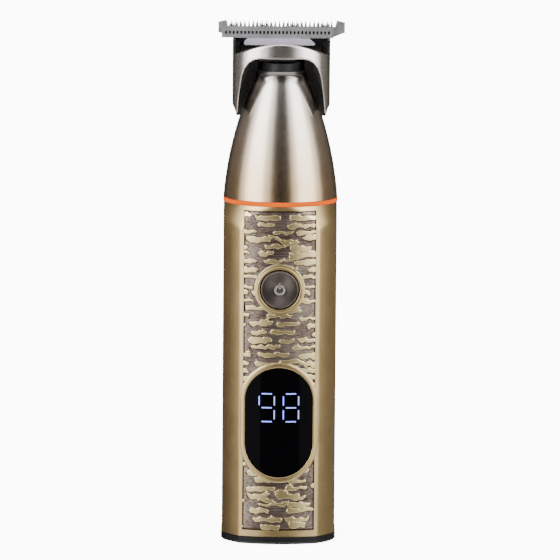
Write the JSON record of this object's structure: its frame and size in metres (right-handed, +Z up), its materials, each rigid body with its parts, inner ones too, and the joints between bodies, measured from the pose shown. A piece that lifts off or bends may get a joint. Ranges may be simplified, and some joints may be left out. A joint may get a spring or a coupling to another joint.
{
  "type": "hair clipper",
  "caption": "Cordless T-blade hair clipper with relief brass body, display window, button and lift-off reciprocating blade head.",
  "frame": {"origin": "middle of the base cap's lower face", "axes": "+Z up the handle towards the blade, -Y the front with the button and display, X along the blade edge"},
  "size_m": [0.0398, 0.0362, 0.1632],
  "materials": {
    "antique_brass": "antique brass plating on cast aluminium, brushed",
    "relief_brass": "brass plated cast relief, dark wash in the ground, polished high points",
    "nickel_neck": "brushed champagne nickel plating",
    "nickel_hood": "satin champagne nickel plating",
    "head_plastic": "dark grey moulded glass-filled nylon",
    "black_plastic": "fine textured black ABS",
    "orange_ring": "orange moulded ABS, gloss",
    "smoked_lens": "gloss smoked acrylic",
    "light_guide": "lit light guides, pale blue-white",
    "gunmetal": "spun gunmetal plating",
    "blade_steel": "ground stainless steel",
    "carrier_silver": "silver-grey moulded acetal",
    "yoke_black": "black acetal",
    "steel": "bright steel",
    "board_green": "green FR4 laminate",
    "chip_black": "black epoxy packages",
    "cell_sleeve": "shrink sleeved lithium cell",
    "nickel_strip": "nickel strip",
    "frame_plastic": "black ABS frame",
    "magnet_dark": "ferrite",
    "rubber_grey": "soft rubber",
    "copper_lead": "insulated wire"
  },
  "bodies": {
    "handle": {"body_shell": "antique_brass", "relief_panel": "relief_brass", "button_ring": "antique_brass", "digit_light_guides": "light_guide", "display_window": "smoked_lens", "display_module": "chip_black", "tact_switch": "steel", "base_cap": "black_plastic", "base_screws": "steel", "charging_socket": "steel", "socket_tongue": "black_plastic", "charging_board": "board_green", "accent_ring": "orange_ring", "neck_cone": "nickel_neck", "neck_collar": "rubber_grey", "motor_can": "steel", "motor_magnets": "magnet_dark", "motor_end_cap": "chip_black", "motor_mount": "frame_plastic", "motor_damper": "rubber_grey", "main_board": "board_green", "board_screws": "steel", "board_chips": "chip_black", "inner_frame": "frame_plastic", "battery_cell": "cell_sleeve", "battery_tabs": "nickel_strip", "motor_leads": "copper_lead"},
    "rotor": {"motor_shaft": "steel", "motor_armature": "steel", "drive_cam": "yoke_black", "cam_pin": "steel"},
    "power_button": {"power_button": "gunmetal", "switch_plunger": "chip_black"},
    "blade_head": {"head_base": "head_plastic", "head_hood": "nickel_hood", "fixed_blade": "blade_steel", "blade_screws": "steel", "blade_spring": "steel"},
    "cutter": {"moving_blade": "blade_steel", "drive_plate": "carrier_silver", "drive_yoke": "yoke_black"}
  },
  "joints": [
    {"name": "rotor_spin", "type": "hinge", "parent": "handle", "child": "rotor", "pos_m": [0, 0, 0.12], "axis": [0, 0, 1], "continuous": true},
    {"name": "button_press", "type": "slide", "parent": "handle", "child": "power_button", "axis": [0, 1, 0], "range_m": [0, 0.0007], "stiffness_N_per_m": 2000},
    {"name": "head_lift_off", "type": "slide", "parent": "handle", "child": "blade_head", "axis": [0, 0, 1], "range_m": [0, 0.024]},
    {"name": "blade_stroke", "type": "slide", "parent": "blade_head", "child": "cutter", "axis": [1, 0, 0], "range_m": [0, 0.0026]}
  ]
}
